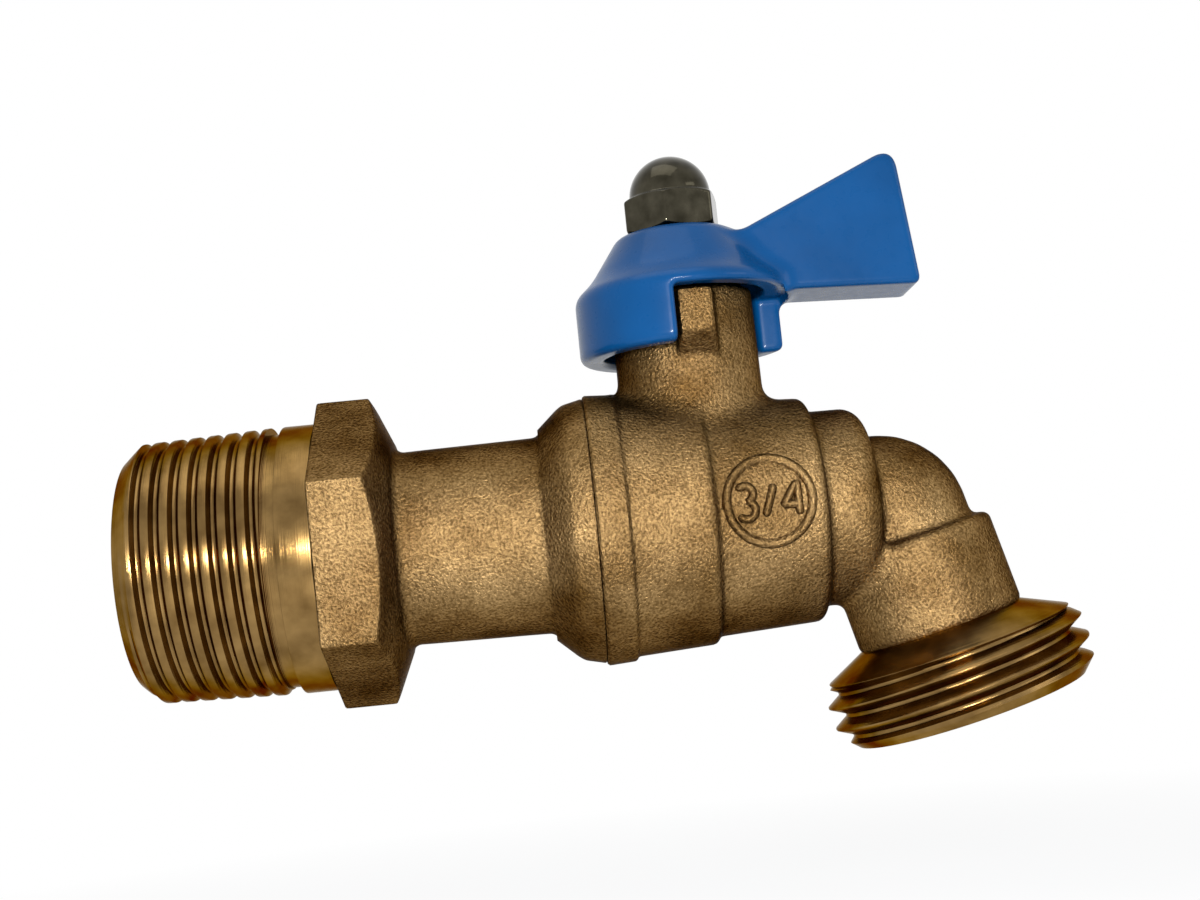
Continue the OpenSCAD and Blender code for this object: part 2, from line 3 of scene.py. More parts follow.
import bmesh
import bpy
import numpy as np
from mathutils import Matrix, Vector


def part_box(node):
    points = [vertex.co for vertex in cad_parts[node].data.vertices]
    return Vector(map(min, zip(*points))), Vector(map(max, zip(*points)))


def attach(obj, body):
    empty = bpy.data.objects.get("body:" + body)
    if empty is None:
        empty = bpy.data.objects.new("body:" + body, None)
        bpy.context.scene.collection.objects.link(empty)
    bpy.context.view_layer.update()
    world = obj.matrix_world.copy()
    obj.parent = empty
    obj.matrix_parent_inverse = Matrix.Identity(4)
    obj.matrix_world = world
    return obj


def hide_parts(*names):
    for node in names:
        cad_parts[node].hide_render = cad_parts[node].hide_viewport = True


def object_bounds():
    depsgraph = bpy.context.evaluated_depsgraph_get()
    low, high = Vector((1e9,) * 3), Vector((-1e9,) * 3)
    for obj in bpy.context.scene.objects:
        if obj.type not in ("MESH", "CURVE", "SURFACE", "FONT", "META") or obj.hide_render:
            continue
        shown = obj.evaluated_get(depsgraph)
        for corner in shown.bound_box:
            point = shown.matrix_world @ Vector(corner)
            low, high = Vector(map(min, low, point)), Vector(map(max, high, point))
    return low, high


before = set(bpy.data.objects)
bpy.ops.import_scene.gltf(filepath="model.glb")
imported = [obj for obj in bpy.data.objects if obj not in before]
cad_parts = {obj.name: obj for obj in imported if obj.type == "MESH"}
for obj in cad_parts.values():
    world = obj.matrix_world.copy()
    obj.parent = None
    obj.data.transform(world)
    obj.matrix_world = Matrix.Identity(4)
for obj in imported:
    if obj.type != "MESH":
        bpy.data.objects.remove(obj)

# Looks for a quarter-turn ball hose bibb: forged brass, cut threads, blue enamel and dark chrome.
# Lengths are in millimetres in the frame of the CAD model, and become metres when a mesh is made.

CAD_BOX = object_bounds()
MM = 0.001

# Places read from the frame
STEM_X = (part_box("stem")[0].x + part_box("stem")[1].x) / 2 / MM
JOINT_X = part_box("body")[0].x / MM
HANDLE_TOP_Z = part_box("acorn_nut")[0].z / MM
NUT_TOP_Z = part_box("acorn_nut")[1].z / MM
SKIRT_BOTTOM_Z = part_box("handle")[0].z / MM
NECK_TOP_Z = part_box("body")[1].z / MM

# Inlet connector
THREAD_LEN = 14.2
THREAD_R = 13.0
THREAD_TAPER = 0.03125
PIPE_PITCH = 25.4 / 14
PIPE_DEPTH = 0.66
LEAD_LEN = 1.6
LEAD_DEPTH = 1.45
GROOVE_W = 1.4
GROOVE_DEPTH = 0.7
HEX_X = 18.9
HEX_AF = 27.0
HEX_TURN = math.radians(6)
HEX_LEN = 5.3
CONE_LEN = 2.1
TUBE_R = 9.75
TUBE_END_R = 9.95
TUBE_FILLET = 1.0
FLANGE_R = 12.95
FLANGE_JOINT_R = 13.45
FLANGE_LEN = 2.5
FLARE_LEN = 2.0
FLANGE_EDGE = 0.35
COLLAR_EDGE = 0.12
HEX_SHARPNESS = 130
INLET_BORE_R = 7.6
INLET_EDGE = 0.5
THROAT_R = 5.4
THROAT_LEN = 3.0
THROAT_TAPER_LEN = 1.6
SPIGOT_R = 10.6
SPIGOT_LEN = 5.6
SEAT_BACK = 9.1
SEAT_LEN = 3.2
SEAT_POCKET_R = 8.45
PIPE_PHASE = 0.4

# Body casting
BAND_DRAFT = 0.05
BAND1_R = 13.7
BAND1_LEN = 3.1
BAND1_EDGE = 0.3
BAND2_R = 13.1
BAND2_LEN = 8.3
BAND2_EDGE = 0.6
BAND2_FILLET = 0.35
BAND3_R = 11.95
BAND3_LEN = 10.9
BAND3_EDGE = 0.9
BAND3_FILLET = 0.6
SHOULDER_R = 10.0
SHOULDER_LEN = 3.5
SHOULDER_ROUND = 2.2
SHOULDER_FILLET = 0.9
NECK_R = 7.25
NECK_ROOT_R = 7.45
NECK_FILLET = 1.7
NECK_EDGE = 0.4
ELBOW_R = 6.85
ELBOW_X = 17.9
ELBOW_FILLET = 0.9
BEND_R = 2.1
OUTLET_LEAN = math.radians(14)
BARREL_R = 8.5
BARREL_TOP = 2.3
BARREL_END = 11.6
BARREL_EDGE = 0.9
BARREL_FILLET = 1.0
LUG_X = 0.6
LUG_ROOT_HALF = 2.05
LUG_FACE_HALF = 1.72
LUG_REACH = 9.5
LUG_BOTTOM_Z = 15.8
LUG_TOP_Z = 22.3
LUG_EDGE = 0.5
LUG_FILLET = 0.35
RING_X = 5.4
RING_Z = 0.6
RING_R = 4.12
RING_WIDTH = 0.95
STROKE_WIDTH = 0.85
MARK_HEIGHT = 0.42
MARK_SINK = 0.03

# Bores of the body casting
JOINT_GAP = 0.05
SEAL_POCKET_R = 12.1
SEAL_POCKET_LEN = 1.4
CHAMBER_R = 9.5
WATERWAY_R = 4.8
OUTLET_BORE_R = 6.2
STEM_COLLAR_R = 4.98
STEM_COLLAR_TOP_Z = 12.4
STEM_HOLE_R = 3.28
PACKING_R = 5.1
PACKING_Z = 14.8
GLAND_R = 5.55
GLAND_Z = 19.5
BORE_EDGE = 0.1
PAST = 3.0

# Hose thread
HOSE_START = 14.0
HOSE_RIM = 20.5
HOSE_R = 13.485
HOSE_PITCH = 25.4 / 11.5
HOSE_DEPTH = 1.45
HOSE_CHAMFER = 1.6
HOSE_BORE_R = 9.5
HOSE_FLOOR = 14.0
HOSE_PHASE = 13.7
FLARE_R = 8.35
FLARE_LIP = (13.75, 12.65)
THREAD_START_R = 12.4
THREAD_START_SLOPE = 1.1

# Handle
TOP_R = 5.9
SKIRT_R = 10.7
SKIRT_TOP_Z = 23.5
WAIST_R = 10.2
LIP_RISE = 0.35
SHELL_WALL = 2.3
HUB_H = 2.8
WAIST_FILLET = 1.6
TOP_EDGE = 0.8
SKIRT_EDGE = 0.9
HOLLOW_EDGE = 0.6
FLATS_HALF = 2.48
WINDOW_TOP_Z = 22.6
WINDOW_LEFT = -1.5
WINDOW_BACK = 2.55
BLADE_HALF = 4.1
BLADE_ROOT = (5.76, 28.4)
BLADE_TIP = (22.9, 36.05)
BLADE_START_X = 5.0
BLADE_TIP_ROUND = 2.3
BLADE_HEEL_ROUND = 0.9
BLADE_EDGE = 0.6
BLADE_FILLET = 1.5
BLADE_CORNER = (24.2, 21.6)
BLADE_HEEL = (10.7, 22.2)

# Acorn nut
NUT_AF = 9.0
NUT_HEX_H = 3.9
NUT_TURN = math.radians(48)
DOME_R = 4.2
NUT_BORE_R = 2.55
NUT_BORE_LEN = 6.2
NUT_EDGE = 0.2
NUT_CHAMFER_SLOPE = 1.7

# Camera, found from the edges in the photograph
CAMERA_FROM_STEM = (-15.21, -168.10, -9.45)
CAMERA_TURN = (95.997, 5.661, -1.244)
CAMERA_LENS = 49.66

# Mesh fineness
COLUMNS = 288
BODY_STEP = 0.34
HANDLE_STEP = 0.24
NUT_STEP = 0.13

PIPE = np.array([1.0, 0.0, 0.0])
UP = np.array([0.0, 0.0, 1.0])
OUTLET = np.array([math.sin(OUTLET_LEAN), 0.0, -math.cos(OUTLET_LEAN)])
BEND_CENTRE = np.array([STEM_X + ELBOW_X, 0.0, -BEND_R])
OUTLET_START = BEND_CENTRE + BEND_R * np.array([math.cos(OUTLET_LEAN), 0.0, math.sin(OUTLET_LEAN)])
JOINT = np.array([JOINT_X, 0.0, 0.0])
STEM = np.array([STEM_X, 0.0, 0.0])


# Fields: signed distances, below zero inside the metal

def smooth_min(a, b, k):
    """Joins two fields with a fillet about k wide."""
    h = np.maximum(k - np.abs(a - b), 0) / k
    return np.minimum(a, b) - h * h * k / 4


def smooth_max(a, b, k):
    """Keeps what two fields share, with its edge rounded about k wide."""
    return -smooth_min(-a, -b, k)


def along(p, start, axis):
    """How far points lie along an axis, and how far out from it."""
    rel = p - start
    s = rel @ axis
    out = np.sqrt(np.maximum((rel * rel).sum(-1) - s * s, 0))
    return s, out


def turned(s, out, s0, s1, r0, r1, edge):
    """A turned blank from radius r0 at s0 to r1 at s1, with rounded edges."""
    half = (s1 - s0) / 2 - edge
    y = s - (s0 + s1) / 2
    a = r0 - edge
    b = r1 - edge
    cap_out = out - np.minimum(out, np.where(y < 0, a, b))
    cap_y = np.abs(y) - half
    t = np.clip(((b - out) * (b - a) + (half - y) * 2 * half) / ((b - a) ** 2 + 4 * half * half), 0, 1)
    side_out = out - b + (b - a) * t
    side_y = y - half + 2 * half * t
    inside = (side_out < 0) & (cap_y < 0)
    d = np.sqrt(np.minimum(cap_out ** 2 + cap_y ** 2, side_out ** 2 + side_y ** 2))
    return np.where(inside, -d, d) - edge


def rod(p, points, r):
    """A round rod along a chain of points."""
    best = None
    for a, b in zip(points[:-1], points[1:]):
        ab = b - a
        t = np.clip((p - a) @ ab / (ab @ ab), 0, 1)
        gap = p - a - t[..., None] * ab
        d = (gap * gap).sum(-1)
        best = d if best is None else np.minimum(best, d)
    return np.sqrt(best) - r


def surface_nets(field, low, high, step):
    """The zero surface of a field in a box, as points and four-sided faces."""
    low = np.array(low, float)
    count = np.ceil((np.array(high) - low) / step).astype(int) + 1
    axes = [low[k] + step * np.arange(count[k]) for k in range(3)]
    value = field(np.stack(np.meshgrid(*axes, indexing="ij"), -1))
    cells = tuple(count - 1)
    owners, crossings, quads = [], [], []
    for k in range(3):
        a, b = (k + 1) % 3, (k + 2) % 3
        first = value.take(range(count[k] - 1), k)
        second = value.take(range(1, count[k]), k)
        edge = np.argwhere((first < 0) != (second < 0))
        for side in (a, b):
            edge = edge[(edge[:, side] > 0) & (edge[:, side] < count[side] - 1)]
        f = first[tuple(edge.T)]
        g = second[tuple(edge.T)]
        point = edge.astype(float)
        point[:, k] += f / (f - g)
        around = []
        for da, db in ((0, 0), (1, 0), (1, 1), (0, 1)):
            cell = edge.copy()
            cell[:, a] -= da
            cell[:, b] -= db
            around.append(np.ravel_multi_index(cell.T, cells))
            owners.append(around[-1])
            crossings.append(point)
        quad = np.stack(around, 1)
        quads.append(np.where((f < 0)[:, None], quad, quad[:, ::-1]))
    used, owner = np.unique(np.concatenate(owners), return_inverse=True)
    crossing = np.concatenate(crossings)
    hits = np.bincount(owner)
    mean = np.stack([np.bincount(owner, crossing[:, k]) / hits for k in range(3)], 1)
    faces = np.searchsorted(used, np.concatenate(quads))
    return settle(low + mean * step, field, step), faces


def settle(points, field, step, rounds=3, reach=0.6, probe=0.02):
    """Moves points onto the zero surface, each by less than a cell."""
    start = points.copy()
    for _ in range(rounds):
        value = field(points)
        slope = np.stack([field(points + probe * e) - field(points - probe * e) for e in np.eye(3)], -1)
        slope /= 2 * probe
        size = np.maximum((slope * slope).sum(-1), 0.2)
        points = points - (value / size)[:, None] * slope
        points = np.clip(points, start - reach * step, start + reach * step)
    return points


# Meshes from rows that run round an axis

def basis(axis):
    """Two directions square to an axis, which make a right-handed set with it."""
    e1 = np.cross(axis, (0.0, 1.0, 0.0))
    e1 /= np.linalg.norm(e1)
    return e1, np.cross(axis, e1)


def angles(offset=0.0):
    """The angle of each column round an axis, with the first one repeated at the end."""
    return offset + np.linspace(0, 2 * math.pi, COLUMNS + 1)


def wrap(rows, start, axis, theta):
    """Points, faces and stations of a surface given as rows of (station, radius)."""
    e1, e2 = basis(axis)
    out = np.outer(np.cos(theta), e1) + np.outer(np.sin(theta), e2)
    s = np.stack([np.broadcast_to(row[0], theta.shape) for row in rows])
    r = np.stack([np.broadcast_to(row[1], theta.shape) for row in rows])
    points = start + s[..., None] * axis + r[..., None] * out
    n, m = s.shape
    corner = (np.arange(n - 1)[:, None] * m + np.arange(m - 1)).ravel()
    faces = np.stack([corner, corner + 1, corner + m + 1, corner + m], 1)
    return points.reshape(-1, 3), faces, s.ravel()


# Places across one tooth of a thread, and how high the tooth stands there
WORN_TOOTH = ((0.05, 0.0), (0.09, 0.04), (0.29, 0.96), (0.33, 1.0), (0.50, 1.0),
              (0.67, 1.0), (0.71, 0.96), (0.91, 0.04), (0.95, 0.0))
SHARP_TOOTH = ((0.03, 0.0), (0.08, 0.03), (0.26, 0.5), (0.44, 0.97), (0.47, 1.0),
               (0.53, 1.0), (0.56, 0.97), (0.74, 0.5), (0.92, 0.03), (0.97, 0.0))


def thread_rows(theta, start, end, phase, pitch, depth, tooth, outside):
    """Rows of a right-handed thread, each of which follows the helix. Rows past an end gather on it."""
    places, heights = zip(*tooth)
    turned_by = (theta - theta[0]) / (2 * math.pi)
    rows = []
    for turn in range(math.floor((start - phase) / pitch) - 1, math.ceil((end - phase) / pitch) + 1):
        for place in places:
            s = np.clip(phase + (turn + place + turned_by) * pitch, start, end)
            height = np.interp(((s - phase) / pitch - turned_by) % 1, places, heights, period=1)
            crest, limit = outside(s)
            rows.append((s, np.minimum(crest - depth * (1 - height), limit)))
    return rows


def corner_rows(points, edge=0.0, steps=3):
    """Rows through the given (station, radius) points, with each inner corner rounded."""
    points = [np.array(p, float) for p in points]
    rows = [tuple(points[0])]
    for before, here, after in zip(points[:-2], points[1:-1], points[2:]):
        if edge == 0:
            rows.append(tuple(here))
            continue
        a = before - here
        b = after - here
        cut = min(edge, np.linalg.norm(a) * 0.45, np.linalg.norm(b) * 0.45)
        p = here + a / np.linalg.norm(a) * cut
        q = here + b / np.linalg.norm(b) * cut
        for t in np.linspace(0, 1, steps):
            rows.append(tuple((1 - t) ** 2 * p + 2 * t * (1 - t) * here + t * t * q))
    rows.append(tuple(points[-1]))
    return rows


def fillet_rows(centre_s, centre_r, r, a, b, steps=8):
    """Rows on an arc about (centre_s, centre_r), from angle a to b in degrees."""
    turn = np.radians(np.linspace(a, b, steps))
    return [(centre_s + r * math.sin(t), centre_r + r * math.cos(t)) for t in turn]


# Objects

def make_piece(name, parts, body, merge=0.004):
    """One object from parts of (points, faces, material, stations)."""
    points, faces, slots, stations, materials = [], [], [], [], []
    base = 0
    for part_points, part_faces, material, part_stations in parts:
        points.append(part_points * MM)
        faces.append(part_faces + base)
        if material not in materials:
            materials.append(material)
        slots.append(np.full(len(part_faces), materials.index(material)))
        stations.append(part_stations if part_stations is not None else np.zeros(len(part_points)))
        base += len(part_points)
    mesh = bpy.data.meshes.new(name)
    mesh.from_pydata(np.concatenate(points), [], np.concatenate(faces).tolist())
    mesh.attributes.new("station", "FLOAT", "POINT").data.foreach_set("value", np.concatenate(stations))
    mesh.polygons.foreach_set("material_index", np.concatenate(slots))
    for material in materials:
        mesh.materials.append(material)
    work = bmesh.new()
    work.from_mesh(mesh)
    bmesh.ops.remove_doubles(work, verts=work.verts, dist=merge * MM)
    bmesh.ops.dissolve_degenerate(work, edges=work.edges, dist=merge * MM / 4)
    work.to_mesh(mesh)
    work.free()
    mesh.polygons.foreach_set("use_smooth", [True] * len(mesh.polygons))
    mesh.set_sharp_from_angle(angle=math.radians(32))
    obj = bpy.data.objects.new(name, mesh)
    bpy.context.scene.collection.objects.link(obj)
    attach(obj, body)
    return obj


# Materials

def new_material(name):
    material = bpy.data.materials.new(name)
    material.use_nodes = True
    tree = material.node_tree
    shader = tree.nodes["Principled BSDF"]
    return material, tree, shader


def add(tree, kind, **values):
    """A node with its inputs set by name."""
    made = tree.nodes.new(kind)
    for key, value in values.items():
        made.inputs[key.replace("_", " ")].default_value = value
    return made


def noise(tree, scale, detail, roughness=0.5):
    place = tree.nodes.new("ShaderNodeTexCoord")
    made = add(tree, "ShaderNodeTexNoise", Scale=scale, Detail=detail, Roughness=roughness)
    tree.links.new(place.outputs["Object"], made.inputs["Vector"])
    return made


def ramp(tree, source, low, high, start, end):
    """Maps a value from start..end to the colours low..high."""
    made = tree.nodes.new("ShaderNodeValToRGB")
    made.color_ramp.elements[0].position = start
    made.color_ramp.elements[0].color = (*low, 1)
    made.color_ramp.elements[1].position = end
    made.color_ramp.elements[1].color = (*high, 1)
    tree.links.new(source, made.inputs["Fac"])
    return made


def spread(tree, source, low, high):
    """Maps a value from 0..1 to low..high."""
    made = tree.nodes.new("ShaderNodeMapRange")
    made.inputs["To Min"].default_value = low
    made.inputs["To Max"].default_value = high
    tree.links.new(source, made.inputs["Value"])
    return made


def bump(tree, source, distance, strength=1.0, under=None):
    made = add(tree, "ShaderNodeBump", Distance=distance * MM, Strength=strength)
    tree.links.new(source, made.inputs["Height"])
    if under is not None:
        tree.links.new(under.outputs["Normal"], made.inputs["Normal"])
    return made


# What the brass reflects near a grazing angle. The forged skin's edge colour is near black, painted shade
# that darkens its rims; the turned brass keeps a brighter edge
RIM_SHADE_EDGE_TINT = (0.05, 0.03, 0.012, 1)
BRIGHT_EDGE = (0.40, 0.28, 0.14, 1)


def forged_brass():
    """Shot-blasted forging brass: a fine bright grain over a slightly uneven skin."""
    material, tree, shader = new_material("forged_brass_skin")
    grain = noise(tree, 3800, 3.0, 0.55)
    waves = noise(tree, 500, 3.0)
    patches = noise(tree, 130, 4.0)
    colour = ramp(tree, patches.outputs["Fac"], (0.10, 0.054, 0.016), (0.30, 0.195, 0.085), 0.3, 0.72)
    speckled = tree.nodes.new("ShaderNodeMix")
    speckled.data_type = "RGBA"
    speckled.blend_type = "MULTIPLY"
    speckled.inputs["Factor"].default_value = 1.0
    dots = ramp(tree, grain.outputs["Fac"], (0.56, 0.52, 0.46), (1.36, 1.36, 1.36), 0.36, 0.66)
    tree.links.new(colour.outputs["Color"], speckled.inputs["A"])
    tree.links.new(dots.outputs["Color"], speckled.inputs["B"])
    tree.links.new(speckled.outputs["Result"], shader.inputs["Base Color"])
    rough = spread(tree, grain.outputs["Fac"], 0.22, 0.42)
    tree.links.new(rough.outputs["Result"], shader.inputs["Roughness"])
    uneven = bump(tree, waves.outputs["Fac"], 0.08, 0.6)
    skin = bump(tree, grain.outputs["Fac"], 0.18, 1.0, uneven)
    tree.links.new(skin.outputs["Normal"], shader.inputs["Normal"])
    shader.inputs["Metallic"].default_value = 1.0
    # The near-black edge tint is painted shade: it darkens the forged brass towards its rims
    shader.inputs["Specular Tint"].default_value = RIM_SHADE_EDGE_TINT
    return material


def turned_brass():
    """Bright brass off the lathe, with fine rings left by the tool."""
    material, tree, shader = new_material("turned_brass_skin")
    station = tree.nodes.new("ShaderNodeAttribute")
    station.attribute_name = "station"
    rings = tree.nodes.new("ShaderNodeTexNoise")
    rings.noise_dimensions = "1D"
    rings.inputs["Scale"].default_value = 9.0
    rings.inputs["Detail"].default_value = 4.0
    tree.links.new(station.outputs["Fac"], rings.inputs["W"])
    stains = noise(tree, 300, 4.0)
    colour = ramp(tree, stains.outputs["Fac"], (0.12, 0.068, 0.022), (0.26, 0.160, 0.058), 0.3, 0.7)
    tree.links.new(colour.outputs["Color"], shader.inputs["Base Color"])
    rough = spread(tree, stains.outputs["Fac"], 0.14, 0.30)
    tree.links.new(rough.outputs["Result"], shader.inputs["Roughness"])
    marks = bump(tree, rings.outputs["Fac"], 0.03, 0.6)
    tree.links.new(marks.outputs["Normal"], shader.inputs["Normal"])
    shader.inputs["Metallic"].default_value = 1.0
    shader.inputs["Specular Tint"].default_value = BRIGHT_EDGE
    return material


def blue_enamel():
    """Baked blue enamel with a faint orange peel."""
    material, tree, shader = new_material("blue_enamel_coat")
    peel = noise(tree, 900, 2.0)
    patches = noise(tree, 90, 3.0)
    colour = ramp(tree, patches.outputs["Fac"], (0.0, 0.056, 0.19), (0.001, 0.072, 0.24), 0.35, 0.65)
    tree.links.new(colour.outputs["Color"], shader.inputs["Base Color"])
    rough = spread(tree, peel.outputs["Fac"], 0.22, 0.36)
    tree.links.new(rough.outputs["Result"], shader.inputs["Roughness"])
    skin = bump(tree, peel.outputs["Fac"], 0.02, 0.5)
    tree.links.new(skin.outputs["Normal"], shader.inputs["Normal"])
    shader.inputs["Specular IOR Level"].default_value = 0.12
    shader.inputs["Coat Weight"].default_value = 0.12
    shader.inputs["Coat Roughness"].default_value = 0.06
    return material


def metal(name, low, high, rough_low, rough_high, scale):
    """A plain worked metal with uneven gloss and fine scratches."""
    material, tree, shader = new_material(name)
    stains = noise(tree, scale, 4.0)
    colour = ramp(tree, stains.outputs["Fac"], low, high, 0.3, 0.7)
    tree.links.new(colour.outputs["Color"], shader.inputs["Base Color"])
    rough = spread(tree, stains.outputs["Fac"], rough_low, rough_high)
    tree.links.new(rough.outputs["Result"], shader.inputs["Roughness"])
    fine = noise(tree, scale * 8, 2.0)
    skin = bump(tree, fine.outputs["Fac"], 0.01, 0.4)
    tree.links.new(skin.outputs["Normal"], shader.inputs["Normal"])
    shader.inputs["Metallic"].default_value = 1.0
    return material


def polymer(name, low, high, roughness, scale):
    """A moulded plastic or rubber with a faint mottle."""
    material, tree, shader = new_material(name)
    mottle = noise(tree, scale, 3.0)
    colour = ramp(tree, mottle.outputs["Fac"], low, high, 0.3, 0.7)
    tree.links.new(colour.outputs["Color"], shader.inputs["Base Color"])
    skin = bump(tree, mottle.outputs["Fac"], 0.02, 0.5)
    tree.links.new(skin.outputs["Normal"], shader.inputs["Normal"])
    shader.inputs["Roughness"].default_value = roughness
    return material


# Body casting

def bands_field(p):
    """The stepped bands and the shoulder. Each starts a little inside the one before it."""
    s, out = along(p, JOINT, PIPE)
    start, end = 0, BAND1_LEN
    d = turned(s, out, start, end, BAND1_R, BAND1_R - BAND1_LEN * BAND_DRAFT, BAND1_EDGE)
    start, end = 1, end + BAND2_LEN
    band = turned(s, out, start, end, BAND2_R + 0.1, BAND2_R - BAND2_LEN * BAND_DRAFT, BAND2_EDGE)
    d = smooth_min(d, band, BAND2_FILLET)
    start, end = BAND1_LEN, end + BAND3_LEN
    band = turned(s, out, start, end, BAND3_R + 0.4, BAND3_R - BAND3_LEN * BAND_DRAFT, BAND3_EDGE)
    d = smooth_min(d, band, BAND3_FILLET)
    start, end = BAND1_LEN + BAND2_LEN, end + SHOULDER_LEN + SHOULDER_ROUND
    shoulder = turned(s, out, start, end, SHOULDER_R, SHOULDER_R - 0.1, SHOULDER_ROUND)
    return smooth_min(d, shoulder, SHOULDER_FILLET)


def elbow_line():
    """The elbow's centre line, from the shoulder to the barrel."""
    turn = np.linspace(math.pi / 2, OUTLET_LEAN, 6)
    bend = [BEND_CENTRE + BEND_R * np.array([math.cos(a), 0.0, math.sin(a)]) for a in turn]
    return [STEM + 12 * PIPE, *bend, OUTLET_START + 4 * OUTLET]


def lug_field(p):
    """The stop lug, with drafted sides and a sloped underside."""
    x = p[..., 0] - STEM_X - LUG_X
    y = p[..., 1]
    z = p[..., 2]
    lean = (LUG_ROOT_HALF - LUG_FACE_HALF) / (LUG_REACH - NECK_R)
    side = (np.abs(x) - LUG_FACE_HALF - lean * (y + LUG_REACH)) / math.hypot(1, lean)
    slope = (LUG_BOTTOM_Z - z - y - NECK_R) / math.sqrt(2)
    d = smooth_max(side, -y - LUG_REACH, LUG_EDGE)
    d = smooth_max(d, slope, LUG_EDGE)
    d = smooth_max(d, z - LUG_TOP_Z, LUG_EDGE)
    return np.maximum(d, y)


def drilled(d, s, out, s0, s1, r):
    """Adds a plain bore to a field of bores."""
    return np.minimum(d, turned(s, out, s0, s1, r, r, BORE_EDGE))


def bores_field(p):
    """What is bored out of the casting."""
    corner = STEM + (ELBOW_X + BEND_R * math.tan((math.pi / 2 - OUTLET_LEAN) / 2)) * PIPE
    d = rod(p, [STEM, corner, OUTLET_START + (BARREL_TOP + BARREL_EDGE) * OUTLET], WATERWAY_R)
    stem_s = STEM_X - JOINT_X
    s, out = along(p, JOINT, PIPE)
    d = drilled(d, s, out, -PAST, SEAL_POCKET_LEN, SEAL_POCKET_R)
    d = drilled(d, s, out, -PAST, SPIGOT_LEN, SPIGOT_R + JOINT_GAP)
    d = drilled(d, s, out, -PAST, stem_s + SEAT_BACK - SEAT_LEN, CHAMBER_R)
    d = drilled(d, s, out, stem_s, stem_s + SEAT_BACK, SEAT_POCKET_R)
    s, out = along(p, OUTLET_START, OUTLET)
    d = drilled(d, s, out, BARREL_TOP, HOSE_FLOOR + PAST, OUTLET_BORE_R)
    s, out = along(p, STEM, UP)
    d = drilled(d, s, out, 0, STEM_COLLAR_TOP_Z, STEM_COLLAR_R)
    d = drilled(d, s, out, 0, NECK_TOP_Z + PAST, STEM_HOLE_R)
    d = drilled(d, s, out, PACKING_Z, NECK_TOP_Z + PAST, PACKING_R)
    return drilled(d, s, out, GLAND_Z, NECK_TOP_Z + PAST, GLAND_R)


def body_field(p):
    d = smooth_min(bands_field(p), rod(p, elbow_line(), ELBOW_R), ELBOW_FILLET)
    s, out = along(p, OUTLET_START, OUTLET)
    barrel = turned(s, out, BARREL_TOP, BARREL_END + 0.5, BARREL_R, BARREL_R, BARREL_EDGE)
    d = smooth_min(d, barrel, BARREL_FILLET)
    s, out = along(p, STEM, UP)
    neck = turned(s, out, 4, NECK_TOP_Z, NECK_ROOT_R, NECK_R, NECK_EDGE)
    d = smooth_min(d, neck, NECK_FILLET)
    d = smooth_min(d, lug_field(p), LUG_FILLET)
    return smooth_max(d, -bores_field(p), BORE_EDGE)


def hose_part(material):
    """The flare, the cut hose thread, its rim and its bore: a closed ring that starts in the barrel."""
    theta = angles()
    rim_r = HOSE_R - HOSE_CHAMFER
    root = (BARREL_END - 0.6, FLARE_R - 0.35)
    throat_r = OUTLET_BORE_R - 0.05
    flare = corner_rows([root, (BARREL_END + 0.1, FLARE_R), FLARE_LIP, (HOSE_START, THREAD_START_R)], 0.12)

    def outside(s):
        lead = THREAD_START_R + (s - HOSE_START) * THREAD_START_SLOPE
        return HOSE_R, np.minimum(lead, rim_r + HOSE_RIM - s)

    cut = thread_rows(theta, HOSE_START, HOSE_RIM, HOSE_PHASE, HOSE_PITCH, HOSE_DEPTH, SHARP_TOOTH, outside)
    inside = corner_rows([
        (HOSE_RIM, rim_r), (HOSE_RIM, HOSE_BORE_R), (HOSE_FLOOR, HOSE_BORE_R),
        (HOSE_FLOOR, throat_r), (BARREL_END - 1, throat_r), root], 0.25)
    points, faces, stations = wrap(flare + cut + inside, OUTLET_START, OUTLET, theta)
    return points, faces, material, stations


def mark_arc(x, y, r, a, b, steps):
    """Points on an arc about (x, y), from angle a to b in degrees."""
    turn = np.radians(np.linspace(a, b, steps))
    return [(x + r * math.cos(t), y + r * math.sin(t)) for t in turn]


def mark_strokes():
    """The size ring and the plain numerals 3/4 inside it, as chains of points about the ring's centre."""
    ring = mark_arc(0, 0, RING_R, 0, 360, 73)
    three = mark_arc(-2.3, 0.78, 0.78, 155, -70, 14) + mark_arc(-2.3, -0.78, 0.86, 70, -155, 14)
    slash = [(0.55, 1.55), (-0.55, -1.55)]
    four_bar = [(2.75, 1.6), (1.35, -0.55), (3.2, -0.55)]
    four_post = [(2.75, 1.75), (2.75, -1.65)]
    return [(ring, RING_WIDTH)] + [(stroke, STROKE_WIDTH) for stroke in (three, slash, four_bar, four_post)]


def band_surface(u, v):
    """A point on the third band's front and the way out of it, at u along and v above the ring's centre."""
    x = STEM_X + RING_X + u
    r = BAND3_R - (x - JOINT_X - BAND1_LEN - BAND2_LEN) * BAND_DRAFT
    z = RING_Z + v
    y = -np.sqrt(r * r - z * z)
    return np.stack([x, y, z], -1), np.stack([0 * x, y / r, z / r], -1)


